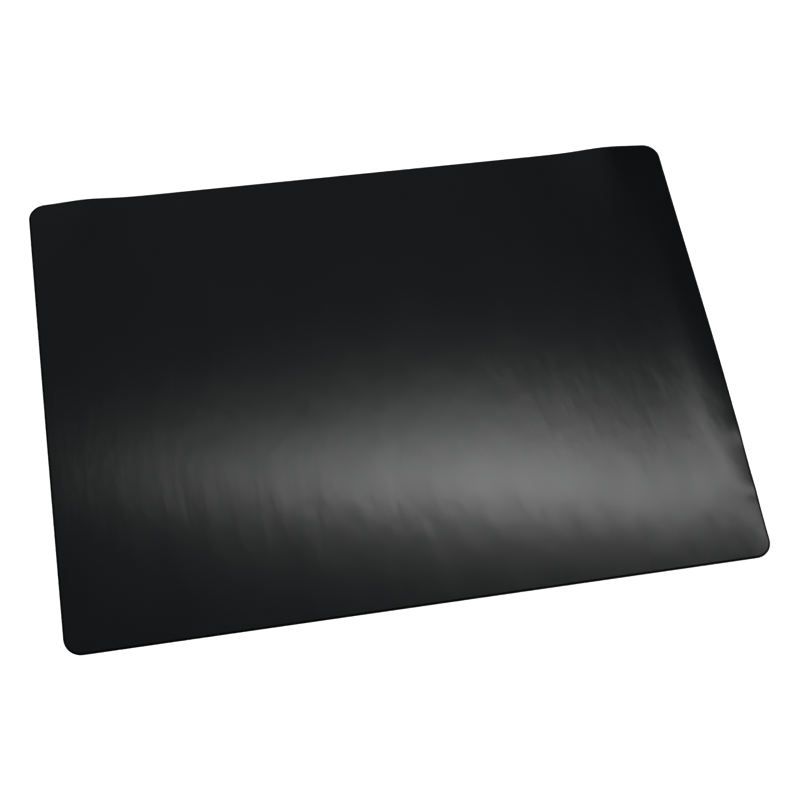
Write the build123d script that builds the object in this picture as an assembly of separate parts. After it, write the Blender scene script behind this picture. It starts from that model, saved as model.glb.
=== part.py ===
"""Desk mat: a flexible laminated sheet that lies on a desk under a keyboard, a mouse or writing paper.

Millimetres. +X runs along the long side, +Y towards the far long edge and +Z up.
The origin is the centre of the underside, so the mat rests on the plane Z = 0.

The mat is cut from one laminated web, so every layer shares one outline. From the desk up:
a foam backing that grips the desk, a film of hot-melt glue, a thin fabric that stops the
vinyl from stretching, and the vinyl sheet that is written and worked on.
"""

import os

from build123d import *

# The outline that the cutting die leaves.
MAT_LENGTH = 609.6
MAT_WIDTH = 431.8
CORNER_RADIUS = 15.0

# The layers, from the desk up.
FOAM_THICKNESS = 1.5
GLUE_THICKNESS = 0.1
FABRIC_THICKNESS = 0.25
VINYL_THICKNESS = 1.3

# The die presses the soft layers down as it cuts, so they spring back behind the vinyl's edge.
FOAM_SETBACK = 0.3
GLUE_SETBACK = 0.25
FABRIC_SETBACK = 0.15

# The die rolls the vinyl's upper edge over, and the foam's lower edge rounds off a little.
VINYL_EDGE_RADIUS = 0.45
FOAM_EDGE_RADIUS = 0.3
# No rolled edge takes more than this share of its layer's thickness.
EDGE_SHARE_LIMIT = 0.6


def layer(base_height, thickness, setback=0.0):
    """One layer of the laminate: the mat's outline drawn in by setback, standing on base_height."""
    outline = RectangleRounded(
        MAT_LENGTH - 2 * setback,
        MAT_WIDTH - 2 * setback,
        CORNER_RADIUS - setback,
    )
    return extrude(Pos(0, 0, base_height) * outline, thickness)


def rolled_edge(plate, side, radius, thickness):
    """The plate with the rim of its top or bottom face rounded all the way round the outline."""
    face = plate.faces().sort_by(Axis.Z)[-1 if side == "top" else 0]
    return fillet(face.edges(), min(radius, EDGE_SHARE_LIMIT * thickness))


def foam_backing():
    """Closed-cell foam against the desk. It grips the desk and cushions the writing."""
    plate = layer(0.0, FOAM_THICKNESS, FOAM_SETBACK)
    return rolled_edge(plate, "bottom", FOAM_EDGE_RADIUS, FOAM_THICKNESS)


def glue_film():
    """Hot-melt film that bonds the foam to the fabric."""
    return layer(FOAM_THICKNESS, GLUE_THICKNESS, GLUE_SETBACK)


def carrier_fabric():
    """Thin woven fabric under the vinyl. It keeps the sheet from stretching and tearing."""
    return layer(FOAM_THICKNESS + GLUE_THICKNESS, FABRIC_THICKNESS, FABRIC_SETBACK)


def writing_sheet():
    """Vinyl sheet with the working face on top and the rolled edge that the hand meets."""
    base_height = FOAM_THICKNESS + GLUE_THICKNESS + FABRIC_THICKNESS
    plate = layer(base_height, VINYL_THICKNESS)
    return rolled_edge(plate, "top", VINYL_EDGE_RADIUS, VINYL_THICKNESS)


PIECES = (foam_backing, glue_film, carrier_fabric, writing_sheet)

os.makedirs("parts", exist_ok=True)
for piece in PIECES:
    export_step(piece(), f"parts/{piece.__name__}.step")

total = FOAM_THICKNESS + GLUE_THICKNESS + FABRIC_THICKNESS + VINYL_THICKNESS
print(f"desk mat {MAT_LENGTH} x {MAT_WIDTH} x {total:.2f} mm, {len(PIECES)} layers")
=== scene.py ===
# %% [markdown]
# # A desk mat
# A desk mat is one flexible sheet, about 610 by 430 mm and 3 mm thick. It is a laminate of four layers
# that were glued together as one wide web and then cut out with a single die: a vinyl sheet on top,
# a thin fabric that stops the vinyl from stretching, a film of glue, and a foam backing.
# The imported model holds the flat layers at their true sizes. This script takes those sizes and adds
# what a flat plate lacks: the slight lift of a sheet that has just been unrolled, the rolled and cut
# edges, the pips under the foam, and the finish of each layer.

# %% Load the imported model
import math

import bpy
import numpy as np
from mathutils import Matrix, Vector


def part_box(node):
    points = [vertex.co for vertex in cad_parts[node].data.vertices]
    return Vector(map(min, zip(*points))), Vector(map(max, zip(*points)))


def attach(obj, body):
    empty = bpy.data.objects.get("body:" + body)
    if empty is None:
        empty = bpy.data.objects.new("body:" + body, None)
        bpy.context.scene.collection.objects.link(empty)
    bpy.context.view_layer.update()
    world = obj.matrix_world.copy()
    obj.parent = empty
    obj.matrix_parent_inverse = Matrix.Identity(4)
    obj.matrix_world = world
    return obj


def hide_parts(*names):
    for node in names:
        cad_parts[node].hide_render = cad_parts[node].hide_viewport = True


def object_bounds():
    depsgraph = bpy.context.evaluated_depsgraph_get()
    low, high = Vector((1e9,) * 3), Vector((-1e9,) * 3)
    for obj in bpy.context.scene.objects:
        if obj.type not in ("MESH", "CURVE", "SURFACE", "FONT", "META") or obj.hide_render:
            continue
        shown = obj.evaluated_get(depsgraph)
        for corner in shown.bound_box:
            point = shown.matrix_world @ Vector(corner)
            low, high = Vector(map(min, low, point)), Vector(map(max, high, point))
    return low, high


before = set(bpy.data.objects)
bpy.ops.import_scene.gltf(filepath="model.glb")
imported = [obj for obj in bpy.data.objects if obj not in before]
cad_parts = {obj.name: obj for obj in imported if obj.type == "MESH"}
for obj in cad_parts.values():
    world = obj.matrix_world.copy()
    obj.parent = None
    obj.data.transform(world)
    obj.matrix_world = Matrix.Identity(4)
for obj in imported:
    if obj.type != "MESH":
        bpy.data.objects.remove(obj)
cad_low, cad_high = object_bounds()
LAYERS = ("foam_backing", "glue_film", "carrier_fabric", "writing_sheet")
layer_box = {name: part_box(name) for name in LAYERS}
MM = 0.001
mat_size = cad_high - cad_low
print("mat in mm:", [round(side / MM, 2) for side in mat_size])

# %% [markdown]
# ## The camera
# The mat is seen from above and a little to its left, with a long lens, and the camera is rolled, so that
# the long side climbs to the right. Five plain measures fix that view: the point looked at, the turn round
# the mat, the height of the look, the distance and the roll. A look-at matrix built from them is easier
# to read and to correct than three Euler angles.

# %% Camera
VIEW_AIM = Vector((5.6 * MM, -25.3 * MM, mat_size.z))
VIEW_TURN = math.radians(-19.85)
VIEW_HEIGHT = math.radians(64.78)
VIEW_ROLL = math.radians(11.07)
VIEW_DISTANCE = 1.3192
VIEW_LENS_MM = 66.40

toward_camera = Vector(
    (
        math.sin(VIEW_TURN) * math.cos(VIEW_HEIGHT),
        -math.cos(VIEW_TURN) * math.cos(VIEW_HEIGHT),
        math.sin(VIEW_HEIGHT),
    )
)
camera_data = bpy.data.cameras.new("camera")
camera_data.lens = VIEW_LENS_MM
camera = bpy.data.objects.new("camera", camera_data)
level = (-toward_camera).to_track_quat("-Z", "Y").to_matrix().to_4x4()
camera.matrix_world = (
    Matrix.Translation(VIEW_AIM + VIEW_DISTANCE * toward_camera)
    @ level
    @ Matrix.Rotation(VIEW_ROLL, 4, "Z")
)
bpy.context.scene.collection.objects.link(camera)
bpy.context.scene.camera = camera
print("camera at", [round(x, 3) for x in camera.matrix_world.translation])

# %% [markdown]
# ## Node trees from Python
# Materials and Geometry Nodes are both trees of nodes joined by links. Wiring them by hand in code is
# long, so two small classes do it. `Tree.add` makes any node from its type, its settings and its inputs.
# `Wire` wraps an output socket, so that ordinary signs add the Math nodes: `1 - mask * 0.5` is three
# nodes in one readable line.


# %% Helpers for node trees
class Wire:
    """An output socket that arithmetic works on, in its own tree."""

    def __init__(self, tree, socket):
        self.tree = tree
        self.socket = socket

    def __add__(self, other):
        return self.tree.math("ADD", self, other)

    __radd__ = __add__

    def __mul__(self, other):
        return self.tree.math("MULTIPLY", self, other)

    __rmul__ = __mul__

    def __sub__(self, other):
        return self.tree.math("SUBTRACT", self, other)

    def __rsub__(self, other):
        return self.tree.math("SUBTRACT", other, self)

    def __truediv__(self, other):
        return self.tree.math("DIVIDE", self, other)

    def __pow__(self, other):
        return self.tree.math("POWER", self, other)


class Tree:
    """A node tree that is filled from Python."""

    def __init__(self, node_tree):
        self.tree = node_tree

    def add(self, kind, settings=None, inputs=None):
        """A new node: first its settings, then a value or a Wire for each named or numbered input."""
        node = self.tree.nodes.new(kind)
        for name, value in (settings or {}).items():
            setattr(node, name, value)
        for key, value in (inputs or {}).items():
            if isinstance(value, Wire):
                self.tree.links.new(value.socket, node.inputs[key])
            else:
                node.inputs[key].default_value = value
        return node

    def out(self, node, key=0):
        """The node's output of that name or number, as a Wire."""
        return Wire(self, node.outputs[key])

    def math(self, operation, *values):
        """A Math node on one, two or three values."""
        node = self.add("ShaderNodeMath", {"operation": operation}, dict(enumerate(values)))
        return self.out(node)

    def smooth(self, value, start, end):
        """0 before start, 1 past end, and a smooth step between them."""
        settings = {"interpolation_type": "SMOOTHSTEP"}
        inputs = {"Value": value, "From Min": start, "From Max": end}
        return self.out(self.add("ShaderNodeMapRange", settings, inputs))

    def reach(self, x, y, size):
        """How far a place is out past the corners' centres. On the outline that is the corner radius."""
        past_x = self.math("ABSOLUTE", x) - (size["Half length"] - size["Corner radius"])
        past_y = self.math("ABSOLUTE", y) - (size["Half width"] - size["Corner radius"])
        over_x = self.math("MAXIMUM", past_x, 0.0)
        over_y = self.math("MAXIMUM", past_y, 0.0)
        return (over_x**2.0 + over_y**2.0) ** 0.5


# %% A tree with named inputs
def sized_group(name, sizes, finishes):
    """An empty Geometry Nodes tree with a named input for each size and for each finish."""
    group = bpy.data.node_groups.new(name, "GeometryNodeTree")
    group.interface.new_socket("Geometry", in_out="INPUT", socket_type="NodeSocketGeometry")
    for size in sizes:
        group.interface.new_socket(size, in_out="INPUT", socket_type="NodeSocketFloat")
    for finish in finishes:
        group.interface.new_socket(finish, in_out="INPUT", socket_type="NodeSocketMaterial")
    group.interface.new_socket("Geometry", in_out="OUTPUT", socket_type="NodeSocketGeometry")
    return group


# %% A piece from points and faces
def new_piece(name, points, faces):
    """A new object in the scene, from points and from faces that number them."""
    mesh = bpy.data.meshes.new(name)
    mesh.from_pydata(points, [], faces)
    piece = bpy.data.objects.new(name, mesh)
    bpy.context.scene.collection.objects.link(piece)
    print(name, "starts with", len(mesh.polygons), "faces")
    return piece


# %% [markdown]
# ## Flat layers
# Each layer is a flat plate with rounded corners. A box would have too few points to bend, and a filled
# outline has none inside at all. A grid of cells bends smoothly, so the plate is a grid whose four corner
# squares are turned into quarter discs: the ring that a point lies on gives its distance from the
# corner's centre, and its place along the ring gives its angle. All the layers share one set of cells, so
# they stay together when they bend. Extra lines close to the outline carry the dull rim and the rolled
# edge.

# %% The lines of the shared grid
CELL = 5.0 * MM
CORNER_STEPS = 6
ROLL_STEPS = 3
CORNER_RADIUS = 15.0 * MM
DULL_RIM = 1.8 * MM
corner_centre = Vector((mat_size.x / 2 - CORNER_RADIUS, mat_size.y / 2 - CORNER_RADIUS))


def rim_lines(radius, roll):
    """Distances from the corner's centre out to the rim, closer together where the edge rolls."""
    flat_part = np.linspace(0.0, radius - DULL_RIM, CORNER_STEPS + 1)[1:]
    turn = np.linspace(0.0, math.pi / 2, ROLL_STEPS + 1)
    return np.concatenate([flat_part, radius - roll + roll * np.sin(turn)])


def grid_lines(half_middle, radius, roll):
    """All the lines of the grid across one direction, from one rim to the other."""
    cells = round(2 * half_middle / CELL)
    middle = np.linspace(-half_middle, half_middle, cells + 1)
    rim = rim_lines(radius, roll)
    return np.concatenate([-half_middle - rim[::-1], middle, half_middle + rim])


print("cells across:", len(grid_lines(corner_centre.x, CORNER_RADIUS, 0.0)) - 1)


# %% One face of a plate
def round_corners(x, y):
    """Turns the grid's corner squares into quarter discs, and gives each point's reach as well."""
    over_x = np.maximum(np.abs(x) - corner_centre.x, 0.0)
    over_y = np.maximum(np.abs(y) - corner_centre.y, 0.0)
    reach = np.maximum(over_x, over_y)
    inside = np.minimum(over_x, over_y)
    share = np.divide(inside, reach, out=np.zeros_like(reach), where=reach > 0)
    angle = np.where(over_x >= over_y, share, 2.0 - share) * math.pi / 4
    in_corner = (over_x > 0) & (over_y > 0)
    new_x = np.sign(x) * (corner_centre.x + reach * np.cos(angle))
    new_y = np.sign(y) * (corner_centre.y + reach * np.sin(angle))
    return np.where(in_corner, new_x, x), np.where(in_corner, new_y, y), reach


def face_points(radius, roll, z, way):
    """A grid of points at height z. Its rim rolls down for a way of -1, and up for a way of 1."""
    x_lines = grid_lines(corner_centre.x, radius, roll)
    y_lines = grid_lines(corner_centre.y, radius, roll)
    x, y, reach = round_corners(*np.meshgrid(x_lines, y_lines, indexing="ij"))
    into_roll = np.clip(reach - (radius - roll), 0.0, roll)
    fall = roll - np.sqrt(np.maximum(roll**2 - into_roll**2, 0.0))
    return np.stack([x, y, z + way * fall], axis=-1)


# %% A closed plate
def plate(name, low, high, top_roll, bottom_roll):
    """A closed plate between two faces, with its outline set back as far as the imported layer's is."""
    radius = high.x - corner_centre.x
    top = face_points(radius, top_roll, high.z, -1.0)
    bottom = face_points(radius, bottom_roll, low.z, 1.0)
    count_x, count_y = top.shape[:2]
    number = np.arange(count_x * count_y).reshape(count_x, count_y)

    def quads(corner_numbers):
        return np.stack(
            [
                corner_numbers[:-1, :-1],
                corner_numbers[1:, :-1],
                corner_numbers[1:, 1:],
                corner_numbers[:-1, 1:],
            ],
            axis=-1,
        ).reshape(-1, 4)

    rim = np.concatenate([number[:-1, 0], number[-1, :-1], number[:0:-1, -1], number[0, :0:-1]])
    below = rim + number.size
    wall = np.stack([below, np.roll(below, -1), np.roll(rim, -1), rim], axis=-1)
    faces = np.concatenate([quads(number), quads(number)[:, ::-1] + number.size, wall])
    points = np.concatenate([top.reshape(-1, 3), bottom.reshape(-1, 3)])
    piece = new_piece(name, points.tolist(), faces.tolist())
    piece.data.shade_smooth()
    piece.data.validate()
    return piece


# %% [markdown]
# ## How the sheet lies
# A mat that came off a roll doesn't lie dead flat at once. It keeps a slight crown across its width, its
# right side arches a little higher, its back edge kicks up near both corners, and its right rim turns
# down again, with two small ripples. That shape is a rule, a height for each place on the desk, so it is
# one Geometry Nodes tree with named sizes. Every layer gets the same tree, and so the laminate stays
# together. The crown is a parabola that comes down over the outer rows of pips. The arch, the kicks and
# the ripples are smooth bumps.

# %% The lift of the unrolled sheet
CROWN = 4.0 * MM
REST_INSET = 4.0 * MM
LEFT_KICK = 3.5 * MM
LEFT_KICK_SPREAD = 27.0 * MM
RIGHT_KICK = 4.2 * MM
RIGHT_KICK_SPREAD = 32.0 * MM
KICK_FROM_CORNER = 53.0 * MM
KICK_DEPTH = 50.0 * MM
SIDE_ARCH = 3.0 * MM
SIDE_ARCH_Y = -36.0 * MM
SIDE_ARCH_DEPTH = 40.0 * MM
SIDE_ARCH_SPREAD = 112.0 * MM
RIM_DROOP = 2.5 * MM
RIM_REACH = 27.0 * MM
RIM_FRONT_SHARE = 0.75
RIM_NARROWS_OVER = 90.0 * MM
RIPPLE_FROM_FRONT = 61.0 * MM
RIPPLE_STEP = 58.0 * MM
RIPPLE_SPREAD = 11.0 * MM
FIRST_RIPPLE = 0.65
SECOND_RIPPLE = 0.4
RIM_CURVE = 1.5
UNEVEN = 0.06 * MM
WAVES_PER_METRE = 18.0
LIFT_SIZES = {
    "Half length": mat_size.x / 2,
    "Half width": mat_size.y / 2,
    "Corner radius": CORNER_RADIUS,
    "Dull rim": DULL_RIM,
    "Crown": CROWN,
    "Rest inset": REST_INSET,
    "Left kick": LEFT_KICK,
    "Left kick spread": LEFT_KICK_SPREAD,
    "Right kick": RIGHT_KICK,
    "Right kick spread": RIGHT_KICK_SPREAD,
    "Kick from corner": KICK_FROM_CORNER,
    "Kick depth": KICK_DEPTH,
    "Side arch": SIDE_ARCH,
    "Side arch y": SIDE_ARCH_Y,
    "Side arch depth": SIDE_ARCH_DEPTH,
    "Side arch spread": SIDE_ARCH_SPREAD,
    "Rim droop": RIM_DROOP,
    "Rim reach": RIM_REACH,
    "Rim front share": RIM_FRONT_SHARE,
    "Rim narrows over": RIM_NARROWS_OVER,
    "Ripple from front": RIPPLE_FROM_FRONT,
    "Ripple step": RIPPLE_STEP,
    "Ripple spread": RIPPLE_SPREAD,
    "First ripple": FIRST_RIPPLE,
    "Second ripple": SECOND_RIPPLE,
    "Unevenness": UNEVEN,
}
print("named sizes of the lift:", len(LIFT_SIZES))


# %% Height of the raised sheet
def raised_height(tree, size, x, y):
    """The crown, the two kicks at the back and the arch of the right side, added up."""

    def bump(height, centre_x, centre_y, spread_x, spread_y):
        away = ((x - centre_x) / spread_x) ** 2 + ((y - centre_y) / spread_y) ** 2
        return height * tree.math("EXPONENT", away * -1.0)

    crown = size["Crown"] * (1.0 - (y / (size["Half width"] - size["Rest inset"])) ** 2)
    back = size["Half width"]
    kick_x = size["Half length"] - size["Kick from corner"]
    arch = (size["Half length"], size["Side arch y"], size["Side arch depth"], size["Side arch spread"])
    return (
        crown
        + bump(size["Left kick"], kick_x * -1.0, back, size["Left kick spread"], size["Kick depth"])
        + bump(size["Right kick"], kick_x, back, size["Right kick spread"], size["Kick depth"])
        + bump(size["Side arch"], *arch)
    )


# %% Droop of the right rim
def rim_droop(tree, size, x, y, raised):
    """How far the right rim hangs below the raised sheet. It never hangs lower than the desk."""
    ripple_y = size["Ripple from front"] - size["Half width"]

    def ripple(height, place):
        return height * tree.math("EXPONENT", ((y - place) / size["Ripple spread"]) ** 2 * -1.0)

    turned = 1.0 - ripple(size["First ripple"], ripple_y)
    turned = turned - ripple(size["Second ripple"], ripple_y + size["Ripple step"])
    behind = tree.smooth(y, ripple_y, ripple_y + size["Rim narrows over"])
    reach = size["Rim reach"] * (size["Rim front share"] + (1.0 - size["Rim front share"]) * behind)
    at_rim = tree.math("MAXIMUM", 1.0 - (size["Half length"] - x) / reach, 0.0) ** RIM_CURVE
    return size["Rim droop"] * turned * at_rim * raised / (raised + size["Rim droop"])


# %% The tree that lifts a layer
def lift_tree():
    """The Geometry Nodes tree that raises a flat layer to where the unrolled sheet lies."""
    group = sized_group("unrolled sheet", LIFT_SIZES, ("Face finish", "Edge finish"))
    tree = Tree(group)
    given = tree.add("NodeGroupInput")
    size = {name: tree.out(given, name) for name in LIFT_SIZES}
    position = tree.out(tree.add("GeometryNodeInputPosition"))
    parts = tree.add("ShaderNodeSeparateXYZ", inputs={0: position})
    x = tree.out(parts, "X")
    y = tree.out(parts, "Y")
    raised = raised_height(tree, size, x, y)
    waves = tree.add(
        "ShaderNodeTexNoise",
        inputs={"Vector": position, "Scale": WAVES_PER_METRE, "Detail": 1.0},
    )
    lift = raised - rim_droop(tree, size, x, y, raised) + tree.out(waves, "Fac") * size["Unevenness"]
    offset = tree.out(tree.add("ShaderNodeCombineXYZ", inputs={"Z": lift}))
    moved = tree.add("GeometryNodeSetPosition", inputs={"Geometry": tree.out(given), "Offset": offset})
    whole = tree.add("GeometryNodeRealizeInstances", inputs={0: tree.out(moved)})
    faced = tree.add(
        "GeometryNodeSetMaterial",
        inputs={"Geometry": tree.out(whole), "Material": tree.out(given, "Face finish")},
    )
    rim = tree.math("GREATER_THAN", tree.reach(x, y, size), size["Corner radius"] - size["Dull rim"])
    edged = tree.add(
        "GeometryNodeSetMaterial",
        inputs={
            "Geometry": tree.out(faced),
            "Selection": rim,
            "Material": tree.out(given, "Edge finish"),
        },
    )
    tree.add("NodeGroupOutput", inputs={0: tree.out(edged)})
    return group


lift_group = lift_tree()
print("lift tree:", len(lift_group.nodes), "nodes")


# %% [markdown]
# ## From a tree to a plain mesh
# A Geometry Nodes modifier makes its result anew each time the object is drawn. The finished pieces are
# plain meshes, so each tree is run once, its result is kept as the piece's mesh, and the modifier is
# taken off. A modifier keeps its inputs under their sockets' identifiers, not under their names.


# %% Running a tree and keeping its result
def run_tree(piece, group, values):
    """Runs a tree on the piece with these input values, and keeps the result as its plain mesh."""
    modifier = piece.modifiers.new(group.name, "NODES")
    modifier.node_group = group
    for item in group.interface.items_tree:
        if item.item_type == "SOCKET" and item.in_out == "INPUT" and item.name in values:
            modifier[item.identifier] = values[item.name]
    view = bpy.context.evaluated_depsgraph_get()
    made = bpy.data.meshes.new_from_object(piece.evaluated_get(view), depsgraph=view)
    piece.modifiers.remove(modifier)
    # A node that makes a shape adds an empty material slot, which nothing uses.
    for number in reversed(range(len(made.materials))):
        if made.materials[number] is None:
            made.materials.pop(index=number)
    flat = piece.data
    piece.data = made
    bpy.data.meshes.remove(flat)
    made.name = piece.name
    heights = [corner[2] for corner in piece.bound_box]
    print(piece.name, "after", group.name, "reaches", round(max(heights) / MM, 2), "mm")


# %% [markdown]
# ## Grip pips
# The foam stands on low pips, which give it its grip and let the air out from under it. They repeat
# thousands of times, so they are instances on a staggered grid of points, and each is a cone of few faces.
# The tree drops the points that come too near the outline, by the same measure that finds the dull rim.

# %% Pips under the foam
PIP_PITCH = 8.0 * MM
PIP_HEIGHT = 0.3 * MM
PIP_BASE = 1.7 * MM
PIP_TIP = 1.0 * MM
PIP_SIDES = 8
PIP_DEPTH_SHARE = 1.2
PIP_CLEARANCE = 0.8
ROW_SHARE = math.sqrt(0.75)
PIP_SIZES = {
    "Half length": mat_size.x / 2,
    "Half width": mat_size.y / 2,
    "Corner radius": CORNER_RADIUS,
    "Margin": REST_INSET,
    "Pitch": PIP_PITCH,
    "Pip height": PIP_HEIGHT,
    "Pip base": PIP_BASE,
    "Pip tip": PIP_TIP,
}
print("named sizes of the pips:", len(PIP_SIZES))


# %% Where the pips stand
def pip_places(tree, size):
    """Staggered points under the foam, without those that come too near the outline."""
    length = (size["Half length"] - size["Margin"]) * 2.0
    width = (size["Half width"] - size["Margin"]) * 2.0
    columns = tree.math("FLOOR", length / size["Pitch"]) + 1.0
    rows = tree.math("FLOOR", width / (size["Pitch"] * ROW_SHARE)) + 1.0
    field = tree.add(
        "GeometryNodeMeshGrid",
        inputs={"Size X": length, "Size Y": width, "Vertices X": columns, "Vertices Y": rows},
    )
    row = tree.math("MODULO", tree.out(tree.add("GeometryNodeInputIndex")), rows)
    odd = tree.math("MODULO", row, 2.0)
    stagger = tree.add("ShaderNodeCombineXYZ", inputs={"X": (odd - 0.5) * size["Pitch"] * 0.5})
    points = tree.add(
        "GeometryNodeSetPosition",
        inputs={"Geometry": tree.out(field), "Offset": tree.out(stagger)},
    )
    position = tree.out(tree.add("GeometryNodeInputPosition"))
    place = tree.add("ShaderNodeSeparateXYZ", inputs={0: position})
    reach = tree.reach(tree.out(place, "X"), tree.out(place, "Y"), size)
    outside = tree.math("GREATER_THAN", reach, size["Corner radius"] - size["Margin"] * PIP_CLEARANCE)
    return tree.add(
        "GeometryNodeDeleteGeometry",
        {"domain": "POINT"},
        {"Geometry": tree.out(points), "Selection": outside},
    )


# %% The tree that adds the pips
def pip_tree():
    """The Geometry Nodes tree that adds the pips to the foam."""
    group = sized_group("grip pips", PIP_SIZES, ("Finish",))
    tree = Tree(group)
    given = tree.add("NodeGroupInput")
    size = {name: tree.out(given, name) for name in PIP_SIZES}
    pip = tree.add(
        "GeometryNodeMeshCone",
        {"fill_type": "NGON"},
        {
            "Vertices": PIP_SIDES,
            "Radius Top": size["Pip base"],
            "Radius Bottom": size["Pip tip"],
            "Depth": size["Pip height"] * PIP_DEPTH_SHARE,
        },
    )
    foam_pip = tree.add(
        "GeometryNodeSetMaterial",
        inputs={"Geometry": tree.out(pip), "Material": tree.out(given, "Finish")},
    )
    pips = tree.add(
        "GeometryNodeInstanceOnPoints",
        inputs={"Points": tree.out(pip_places(tree, size)), "Instance": tree.out(foam_pip)},
    )
    joined = tree.add("GeometryNodeJoinGeometry")
    for part in (tree.out(given), tree.out(pips)):
        group.links.new(part.socket, joined.inputs[0])
    whole = tree.add("GeometryNodeRealizeInstances", inputs={0: tree.out(joined)})
    finished = tree.add(
        "GeometryNodeSetMaterial",
        inputs={"Geometry": tree.out(whole), "Material": tree.out(given, "Finish")},
    )
    tree.add("NodeGroupOutput", inputs={0: tree.out(finished)})
    return group


pip_group = pip_tree()
print("pip tree:", len(pip_group.nodes), "nodes")

# %% [markdown]
# ## Finishes
# Every finish starts the same way: a material with one Principled shader, fed by patterns on Object
# coordinates. All the layers lie at the origin, so those coordinates are metres on the mat itself.


# %% A finish and its patterns
class Finish(Tree):
    """A material that is built up by adding patterns to one Principled shader."""

    def __init__(self, name, **fixed):
        self.material = bpy.data.materials.new(name)
        self.material.use_nodes = True
        super().__init__(self.material.node_tree)
        self.shader = self.tree.nodes["Principled BSDF"]
        for socket_name, value in fixed.items():
            self.shader.inputs[socket_name.replace("_", " ")].default_value = value
        self.place = self.out(self.add("ShaderNodeTexCoord"), "Object")

    def noise(self, scale, stretch=(1.0, 1.0, 1.0), detail=2.0):
        """Soft noise with about scale features to the metre, drawn out where a stretch is below 1."""
        mapping = self.add("ShaderNodeMapping", inputs={"Vector": self.place, "Scale": stretch})
        inputs = {"Vector": self.out(mapping), "Scale": scale, "Detail": detail}
        return self.out(self.add("ShaderNodeTexNoise", inputs=inputs), "Fac")

    def blend(self, share, first, second):
        """A colour that goes from first to second as share goes from 0 to 1."""
        node = self.add("ShaderNodeMix", {"data_type": "RGBA"}, {0: share, 6: first, 7: second})
        return self.out(node, 2)

    def relief(self, height, depth):
        """A Bump node whose height of 0 to 1 stands for depth in metres."""
        inputs = {"Height": height, "Distance": depth, "Strength": 1.0}
        return self.out(self.add("ShaderNodeBump", inputs=inputs), "Normal")

    def feed(self, **wires):
        """Links each wire to the shader's socket of that name."""
        for socket_name, wire in wires.items():
            self.tree.links.new(wire.socket, self.shader.inputs[socket_name.replace("_", " ")])
        print(self.material.name, "has", len(self.tree.nodes), "nodes")
        return self.material


def colour(red, green, blue):
    """A linear colour with full alpha."""
    return (red, green, blue, 1.0)


# %% [markdown]
# ### Black vinyl, calendered
# The top sheet is soft vinyl that was pressed between rollers. It is a cool black with a satin sheen: a
# fine even grain, draw lines along the way it ran through the rollers, slow swells where the foam gives
# under it, and clouds where it cooled unevenly. Grain, lines and swells are relief, and so they show only
# where light is reflected, as they do on the real sheet. All but the swells change the roughness too.


# %% Vinyl face
GRAIN_PER_METRE = 1400.0
CLOUDS_PER_METRE = 16.0
LINES_PER_METRE = 75.0
LINES_DRAWN_OUT = (1.0, 0.05, 1.0)
SWELLS_PER_METRE = 55.0
SWELLS_DRAWN_OUT = (1.0, 0.4, 1.0)
GRAIN_DEPTH = 0.004 * MM
LINE_DEPTH = 0.09 * MM
SWELL_DEPTH = 0.34 * MM
SATIN = 0.2255
CLOUD_SATIN = 0.04
LINE_SATIN = 0.03
GRAIN_SATIN = 0.02
VINYL_BLACKS = (colour(0.0060, 0.0072, 0.0080), colour(0.0072, 0.0084, 0.0092))


def vinyl_finish():
    """The satin face of the vinyl."""
    finish = Finish("black_vinyl", IOR=1.5)
    grain = finish.noise(GRAIN_PER_METRE, detail=1.0)
    clouds = finish.noise(CLOUDS_PER_METRE, detail=2.0)
    draw_lines = finish.noise(LINES_PER_METRE, stretch=LINES_DRAWN_OUT, detail=1.0)
    swells = finish.noise(SWELLS_PER_METRE, stretch=SWELLS_DRAWN_OUT, detail=3.0)
    shade = finish.blend(clouds, *VINYL_BLACKS)
    satin = SATIN + (clouds - 0.5) * CLOUD_SATIN + (draw_lines - 0.5) * LINE_SATIN
    satin = satin + (grain - 0.5) * GRAIN_SATIN
    height = grain * GRAIN_DEPTH + draw_lines * LINE_DEPTH + swells * SWELL_DEPTH
    return finish.feed(Base_Color=shade, Roughness=satin, Normal=finish.relief(height, 1.0))


vinyl = vinyl_finish()


# %% [markdown]
# ### The die-cut edge
# The die leaves a dull wall with fine upright drag marks, and it presses the last strip of the face dull
# as well. Both reflect much less than the face, and their black is painted darker than the face's, as
# painted shade, so they draw the thin dark line round the mat. The tree that lifts the sheet gives this
# finish to every face past the dull rim's line.


# %% Cut edge of the vinyl
MARKS_PER_METRE = 900.0
MARKS_DRAWN_OUT = (1.0, 1.0, 0.05)
MARK_DEPTH = 0.02 * MM
CUT_BLACKS_WITH_OUTLINE_SHADE = (colour(0.001, 0.001, 0.001), colour(0.003, 0.003, 0.003))


def cut_edge_finish():
    """The dull wall that the die leaves."""
    finish = Finish("cut_vinyl", Specular_IOR_Level=0.04)
    marks = finish.noise(MARKS_PER_METRE, stretch=MARKS_DRAWN_OUT)
    # Partly painted shade: the dull finish is real, but these blacks are darker than the face's, so the
    # rim draws a dark outline.
    shade = finish.blend(marks, *CUT_BLACKS_WITH_OUTLINE_SHADE)
    dullness = 0.75 + marks * 0.2
    return finish.feed(Base_Color=shade, Roughness=dullness, Normal=finish.relief(marks, MARK_DEPTH))


cut_vinyl = cut_edge_finish()


# %% [markdown]
# ### Carrier fabric
# The fabric is a plain weave of dull black threads, three to a millimetre. Only its edge shows. Two sine
# waves that cross make the weave: a thread is high where the other one dives under it. The low places
# are painted darker, as painted shade.


# %% Woven fabric
THREAD = 0.33 * MM
WEAVE_DEPTH = 0.05 * MM
WEAVE_BLACKS_WITH_DIP_SHADE = (colour(0.004, 0.004, 0.004), colour(0.014, 0.014, 0.015))


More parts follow.
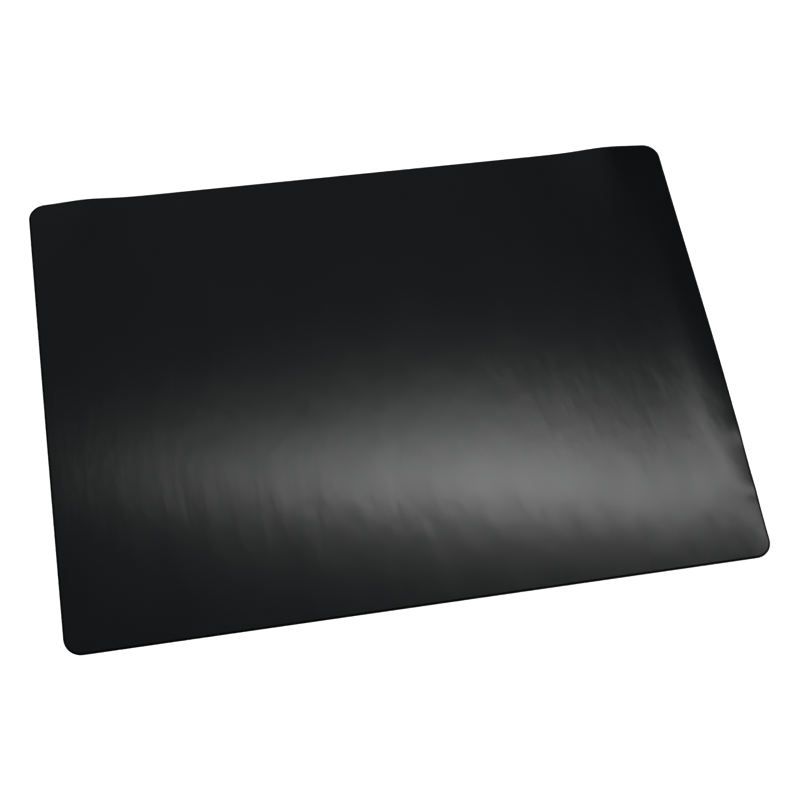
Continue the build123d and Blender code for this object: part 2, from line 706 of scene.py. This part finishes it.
def fabric_finish():
    """A plain weave, dull and dark."""
    finish = Finish("black_weave", Specular_IOR_Level=0.2, Sheen_Weight=0.1)
    parts = finish.add("ShaderNodeSeparateXYZ", inputs={0: finish.place})
    per_metre = math.pi / THREAD
    waves = [finish.math("SINE", finish.out(parts, axis) * per_metre) for axis in ("X", "Y")]
    weave_and_dip_shade = waves[0] * waves[1] * 0.5 + 0.5
    # Painted shade: where a thread dives under the other, the colour is darker.
    shade = finish.blend(weave_and_dip_shade, *WEAVE_BLACKS_WITH_DIP_SHADE)
    dullness = 0.9 - weave_and_dip_shade * 0.1
    return finish.feed(Base_Color=shade, Roughness=dullness, Normal=finish.relief(weave_and_dip_shade, WEAVE_DEPTH))


weave_black = fabric_finish()


# %% [markdown]
# ### Hot-melt glue
# The glue is a smoked, slightly glossy film, uneven where it was rolled on. It is thin enough that only a
# hair line of it shows at the cut.


# %% Glue film
FLOW_PER_METRE = 220.0
FLOW_DEPTH = 0.02 * MM
GLUE_BLACKS = (colour(0.006, 0.0055, 0.005), colour(0.012, 0.011, 0.010))


def glue_finish():
    """A thin film of hot-melt glue."""
    finish = Finish("smoked_glue", IOR=1.48)
    flow = finish.noise(FLOW_PER_METRE, detail=3.0)
    shade = finish.blend(flow, *GLUE_BLACKS)
    dullness = 0.35 + flow * 0.2
    return finish.feed(Base_Color=shade, Roughness=dullness, Normal=finish.relief(flow, FLOW_DEPTH))


smoked_glue = glue_finish()


# %% [markdown]
# ### Foam backing
# Closed-cell foam is a mass of tiny bubbles. Its skin is dull, with small round pores, which Voronoi
# cells give at the right size. The pores are painted a little darker than the walls between them, as
# painted shade in the pits.


# %% Foam
PORES_PER_METRE = 1800.0
PORE_FLOOR = 0.1
PORE_LIP = 0.6
PATCHES_PER_METRE = 60.0
PORE_DEPTH = 0.06 * MM
FOAM_BLACKS_WITH_PORE_SHADE = (colour(0.005, 0.005, 0.005), colour(0.011, 0.011, 0.011))


def foam_finish():
    """Dull closed-cell foam with fine pores."""
    finish = Finish("black_foam", Specular_IOR_Level=0.15)
    cells = finish.add("ShaderNodeTexVoronoi", inputs={"Vector": finish.place, "Scale": PORES_PER_METRE})
    walls_and_pore_shade = finish.smooth(finish.out(cells, "Distance"), PORE_FLOOR, PORE_LIP)
    patches = finish.noise(PATCHES_PER_METRE)
    # Painted shade: the pits of the pores are darker. The patches are random tone.
    shade = finish.blend(walls_and_pore_shade * 0.7 + patches * 0.3, *FOAM_BLACKS_WITH_PORE_SHADE)
    dullness = 0.95 - walls_and_pore_shade * 0.1
    return finish.feed(Base_Color=shade, Roughness=dullness, Normal=finish.relief(walls_and_pore_shade, PORE_DEPTH))


black_foam = foam_finish()

# %% [markdown]
# ## Making the layers
# The rolled edges are where the die pressed: the vinyl's upper edge is rolled over, and the foam's lower
# edge is rounded off. The foam's plate starts a pip's height above the desk, because the pips stand on it.

# %% The four layers
HAIR_ROLL = 0.03 * MM
FOAM_ROLL = 0.3 * MM
VINYL_ROLL = 0.45 * MM
EDGE_ROLLS = {
    "foam_backing": (HAIR_ROLL, FOAM_ROLL),
    "glue_film": (HAIR_ROLL, HAIR_ROLL),
    "carrier_fabric": (HAIR_ROLL, HAIR_ROLL),
    "writing_sheet": (VINYL_ROLL, HAIR_ROLL),
}
FINISHES = {
    "foam_backing": (black_foam, black_foam),
    "glue_film": (smoked_glue, smoked_glue),
    "carrier_fabric": (weave_black, weave_black),
    "writing_sheet": (vinyl, cut_vinyl),
}
pieces = {}
for name in LAYERS:
    low, high = layer_box[name]
    if name == "foam_backing":
        low = low + Vector((0.0, 0.0, PIP_HEIGHT))
    pieces[name] = plate(name + "_visual", low, high, *EDGE_ROLLS[name])
    pieces[name].data.materials.append(FINISHES[name][0])
run_tree(pieces["foam_backing"], pip_group, {**PIP_SIZES, "Finish": black_foam})
for name, piece in pieces.items():
    face_finish, edge_finish = FINISHES[name]
    run_tree(piece, lift_group, {**LIFT_SIZES, "Face finish": face_finish, "Edge finish": edge_finish})

# %% [markdown]
# ## What each piece stands for
# The imported solids stay as they are, for collision, and these four pieces are shown in their place.

# %% Hand the pieces to the frame
for name, piece in pieces.items():
    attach(piece, "root")
    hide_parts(name)
for name, below in zip(LAYERS[1:], LAYERS):
    low, high = layer_box[name]

# %% [markdown]
# ## The table top
# The mat lies on a plain pale surface that runs out to the horizon. It glows a little, like an acrylic
# table that is lit from below, so that it stays pale and takes only a faint shadow.

# %% Pale table
TABLE_RADIUS = 30.0
TABLE_GAP = 0.05 * MM
TABLE_GLOW = 0.9
TABLE_CLOUDS_PER_METRE = 3.0
TABLE_PALES = (colour(0.80, 0.80, 0.80), colour(0.84, 0.84, 0.84))
ROUND_STEPS = 64


def circle(radius):
    """Points round a circle, as pairs of x and y."""
    turns = [2 * math.pi * step / ROUND_STEPS for step in range(ROUND_STEPS)]
    return [(radius * math.cos(turn), radius * math.sin(turn)) for turn in turns]


def pale_table():
    """A wide disc just below the mat."""
    points = [(x, y, -TABLE_GAP) for x, y in circle(TABLE_RADIUS)]
    table = new_piece("pale_table", points, [list(range(ROUND_STEPS))])
    finish = Finish(
        "pale_acrylic",
        Roughness=0.6,
        Specular_IOR_Level=0.1,
        Emission_Color=colour(1.0, 1.0, 1.0),
        Emission_Strength=TABLE_GLOW,
    )
    shade = finish.blend(finish.noise(TABLE_CLOUDS_PER_METRE), *TABLE_PALES)
    table.data.materials.append(finish.feed(Base_Color=shade))


pale_table()

# %% [markdown]
# ## The backdrop
# Far behind the table stands a round wall of pale paper, which glows as the table does. A black satin face
# would mirror it as grey at a low angle. The wall is kept out of the reflections and lights nothing, just
# as black flags keep a white studio off a black product.

# %% Paper wall
WALL_RADIUS = 29.0
WALL_HEIGHT = 16.0
WALL_GLOW = 0.95
PAPER_CLOUDS_PER_METRE = 0.4
PAPER_PALES = (colour(0.97, 0.97, 0.97), colour(1.0, 1.0, 1.0))


def paper_wall():
    """A round wall that only the camera sees."""
    points = [(x, y, z) for z in (-TABLE_GAP, WALL_HEIGHT) for x, y in circle(WALL_RADIUS)]
    faces = []
    for here in range(ROUND_STEPS):
        after = (here + 1) % ROUND_STEPS
        faces.append((here, here + ROUND_STEPS, after + ROUND_STEPS, after))
    wall = new_piece("paper_wall", points, faces)
    finish = Finish(
        "backdrop_paper",
        Base_Color=colour(0.0, 0.0, 0.0),
        Roughness=1.0,
        Emission_Strength=WALL_GLOW,
    )
    glow = finish.blend(finish.noise(PAPER_CLOUDS_PER_METRE), *PAPER_PALES)
    wall.data.materials.append(finish.feed(Emission_Color=glow))
    wall.visible_glossy = False
    wall.visible_diffuse = False


paper_wall()

# %% [markdown]
# ## Light
# Black satin is seen by what it mirrors, so the lights are large softboxes: area lights in Blender, which
# the camera itself doesn't see. Two hang overhead and face straight down, and one stands at the left.
# A plain area light is evenly bright, and a real softbox's cloth isn't. A light can have nodes too, so
# its brightness is drawn over the cloth with the same classes as the materials.

# %% Softboxes
def softbox(name, place, aim, size, watts, spin=0.0):
    """A rectangular area light at a place, aimed at a point, that the camera doesn't see."""
    light = bpy.data.lights.new(name, "AREA")
    light.shape = "RECTANGLE"
    light.size, light.size_y = size
    light.energy = watts
    lamp = bpy.data.objects.new(name, light)
    turn = (Vector(aim) - Vector(place)).to_track_quat("-Z", "Y").to_matrix().to_4x4()
    lamp.matrix_world = Matrix.Translation(place) @ turn @ Matrix.Rotation(spin, 4, "Z")
    lamp.visible_camera = False
    bpy.context.scene.collection.objects.link(lamp)
    print(name, "softbox:", size[0], "by", size[1], "m,", watts, "W")
    return lamp


def hang(name, place, size, watts, spin=0.0):
    """A softbox that faces straight down."""
    return softbox(name, place, Vector(place) - Vector((0.0, 0.0, 1.0)), size, watts, spin)


def shape_light(lamp, profile):
    """Gives a softbox a brightness over its cloth: profile(tree, u, v), with u and v from 0 to 1."""
    lamp.data.use_nodes = True
    tree = Tree(lamp.data.node_tree)
    over_cloth = tree.out(tree.add("ShaderNodeNewGeometry"), "Parametric")
    parts = tree.add("ShaderNodeSeparateXYZ", inputs={0: over_cloth})
    level = profile(tree, tree.out(parts, "X"), tree.out(parts, "Y"))
    tree.tree.links.new(level.socket, tree.tree.nodes["Emission"].inputs["Strength"])


# %% [markdown]
# ### The band
# One long softbox hangs over the back half of the mat, a little askew. The satin vinyl mirrors it as a
# wide soft band. Its cloth is dim at the left end, brightest along the front edge, and it glows behind
# the middle. Each of these is a short curve along the cloth or across it.

# %% The band
BAND_PLACE = (0.2534, 0.1633, 0.65)
BAND_SIZE = (1.207, 0.223)
BAND_TURN = math.radians(-11.74)
BAND_WATTS = 10.94
DIM_END = 0.11
RAMP_END = 0.381
RIGHT_END = 0.82
FRONT_EDGE = 0.165
GLOW = 0.305
GLOW_AT = 0.513
GLOW_SPREAD = 0.1785


def band_profile(tree, u, v):
    """Dim at the left end, bright along the front edge, with a soft glow behind the middle of it."""
    along = DIM_END + (1.0 - DIM_END) * tree.smooth(u, 0.0, RAMP_END)
    along = along * tree.smooth(u, 1.0, RIGHT_END)
    edge = tree.math("EXPONENT", v * (-1.0 / FRONT_EDGE))
    glow = GLOW * tree.math("EXPONENT", ((u - GLOW_AT) / GLOW_SPREAD) ** 2 * -1.0) * (1.0 - v)
    return along * (edge + glow)


band = hang("band", BAND_PLACE, BAND_SIZE, BAND_WATTS, BAND_TURN)
shape_light(band, band_profile)

# %% [markdown]
# ### Ceiling and fill light
# A dim ceiling keeps the rest of the face from going pitch black. It is brighter towards its back left
# corner, so the black isn't the same all over. A fill light on the left lights the table and the cut
# edges, and the face mirrors it away from the camera.

# %% Ceiling and fill light
CEILING_PLACE = (-0.175, 1.15, 2.0)
CEILING_SIZE = (2.25, 2.3)
CEILING_WATTS = 1.39
CEILING_MORE = 1.6
CEILING_MORE_FROM = 0.4
CEILING_MORE_TO = 0.91
CEILING_RIGHT_LOSS = 0.75
FILL_PLACE = (-1.5, -1.1, 1.1)
FILL_SIZE = (1.2, 1.2)
FILL_WATTS = 24.0


def ceiling_profile(tree, u, v):
    """Even in front, and brighter towards its back left corner."""
    behind = tree.smooth(v, CEILING_MORE_FROM, CEILING_MORE_TO)
    return 1.0 + CEILING_MORE * behind * (1.0 - CEILING_RIGHT_LOSS * u)


ceiling = hang("ceiling", CEILING_PLACE, CEILING_SIZE, CEILING_WATTS)
shape_light(ceiling, ceiling_profile)
softbox("fill", FILL_PLACE, (0.0, 0.0, 0.0), FILL_SIZE, FILL_WATTS)


# %% [markdown]
# ### The room
# The world behind everything is what a light ray meets when it misses the lamps and the table. It is pale
# low down, where a studio's walls are, and dark overhead, because a black face shows whatever hangs
# above it.

# %% Room
ROOM_LOW = colour(0.30, 0.30, 0.30)
ROOM_HIGH = colour(0.015, 0.016, 0.017)
ROOM_DARK_FROM = 0.6


def room():
    """A world that is pale near the horizon and dark overhead."""
    world = bpy.data.worlds.new("studio")
    world.use_nodes = True
    tree = Tree(world.node_tree)
    direction = tree.out(tree.add("ShaderNodeTexCoord"), "Generated")
    height = tree.out(tree.add("ShaderNodeSeparateXYZ", inputs={0: direction}), "Z")
    dark = tree.smooth(height, 0.0, ROOM_DARK_FROM)
    shade = tree.add("ShaderNodeMix", {"data_type": "RGBA"}, {0: dark, 6: ROOM_LOW, 7: ROOM_HIGH})
    tree.tree.links.new(shade.outputs[2], world.node_tree.nodes["Background"].inputs["Color"])
    bpy.context.scene.world = world
    print("world:", world.name)


room()
bpy.context.scene.view_settings.view_transform = "Standard"
